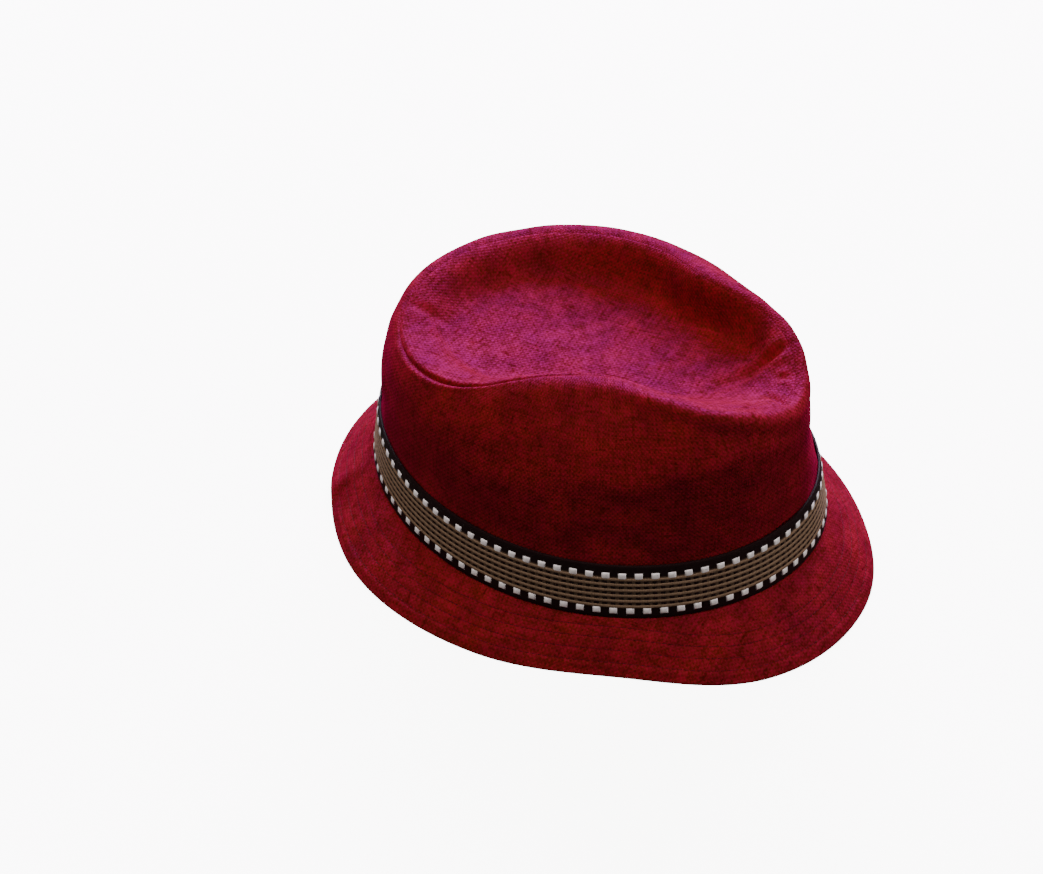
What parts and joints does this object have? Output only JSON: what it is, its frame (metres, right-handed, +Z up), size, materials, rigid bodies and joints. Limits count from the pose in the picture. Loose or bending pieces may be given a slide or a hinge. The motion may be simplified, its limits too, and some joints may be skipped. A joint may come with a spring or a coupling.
{
  "type": "trilby hat",
  "caption": "Short-brim cloth trilby with a tear-shaped dented crown, a turned-down brim and a patterned woven ribbon round the crown's foot.",
  "frame": {"origin": "middle of the brim's outline in plan, on the surface the brim rests on", "axes": "+Z up through the crown, -Y towards the front of the hat, +X towards the wearer's left"},
  "size_m": [0.2126, 0.2586, 0.1157],
  "materials": {
    "crown_cloth": "slubby two-tone woven cloth, matte",
    "tip_cloth": "slubby two-tone woven cloth, matte",
    "brim_cloth": "slubby two-tone woven cloth, matte, with topstitched rows",
    "ribbon": "patterned woven ribbon, slightly glossy"
  },
  "bodies": {
    "root": {"crown_side": "crown_cloth", "crown_tip": "tip_cloth", "brim": "brim_cloth", "hat_band": "ribbon"}
  },
  "joints": []
}
